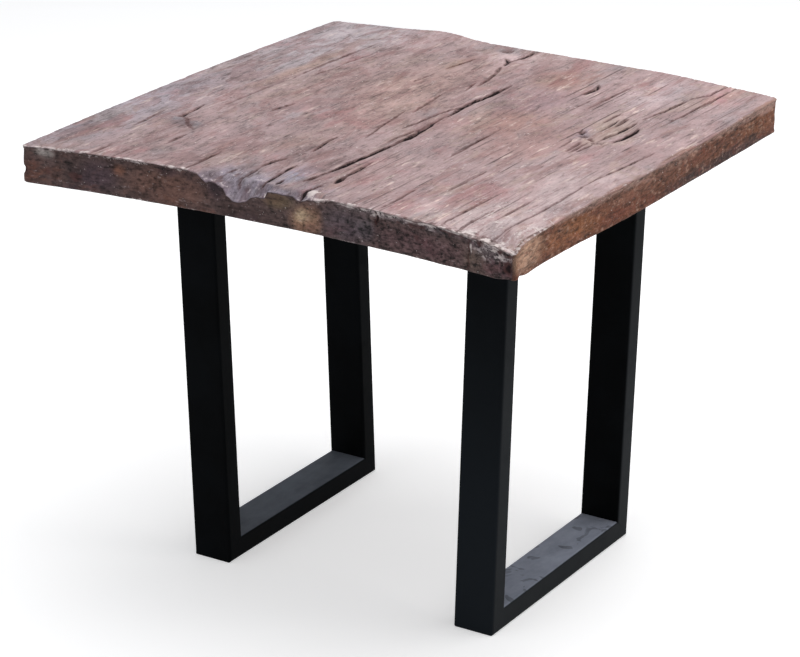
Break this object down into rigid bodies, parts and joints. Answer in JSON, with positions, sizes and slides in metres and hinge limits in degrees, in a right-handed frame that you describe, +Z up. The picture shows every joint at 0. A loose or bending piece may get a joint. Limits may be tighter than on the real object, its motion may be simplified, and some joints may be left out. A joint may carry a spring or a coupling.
{
  "type": "nightstand",
  "caption": "Low open side table: thick weathered hardwood slab on two black U-shaped frames of rectangular steel tube, for use beside a bed or sofa.",
  "frame": {"origin": "on the floor, under the middle of the slab", "axes": "+Z up, +Y to the back along the grain, +X to the right across the grain"},
  "size_m": [0.621, 0.6354, 0.514],
  "materials": {
    "weathered_wood": "dry, weathered, lightly waxed",
    "frame_black": "satin powder coat",
    "screw_zinc": "bright zinc"
  },
  "bodies": {
    "root": {"tabletop_slab": "weathered_wood", "left_foot_tube": "frame_black", "left_front_upright": "frame_black", "left_rear_upright": "frame_black", "right_foot_tube": "frame_black", "right_front_upright": "frame_black", "right_rear_upright": "frame_black", "left_front_plate": "frame_black", "left_rear_plate": "frame_black", "right_front_plate": "frame_black", "right_rear_plate": "frame_black", "left_frame_screws": "screw_zinc", "right_frame_screws": "screw_zinc"}
  },
  "joints": []
}
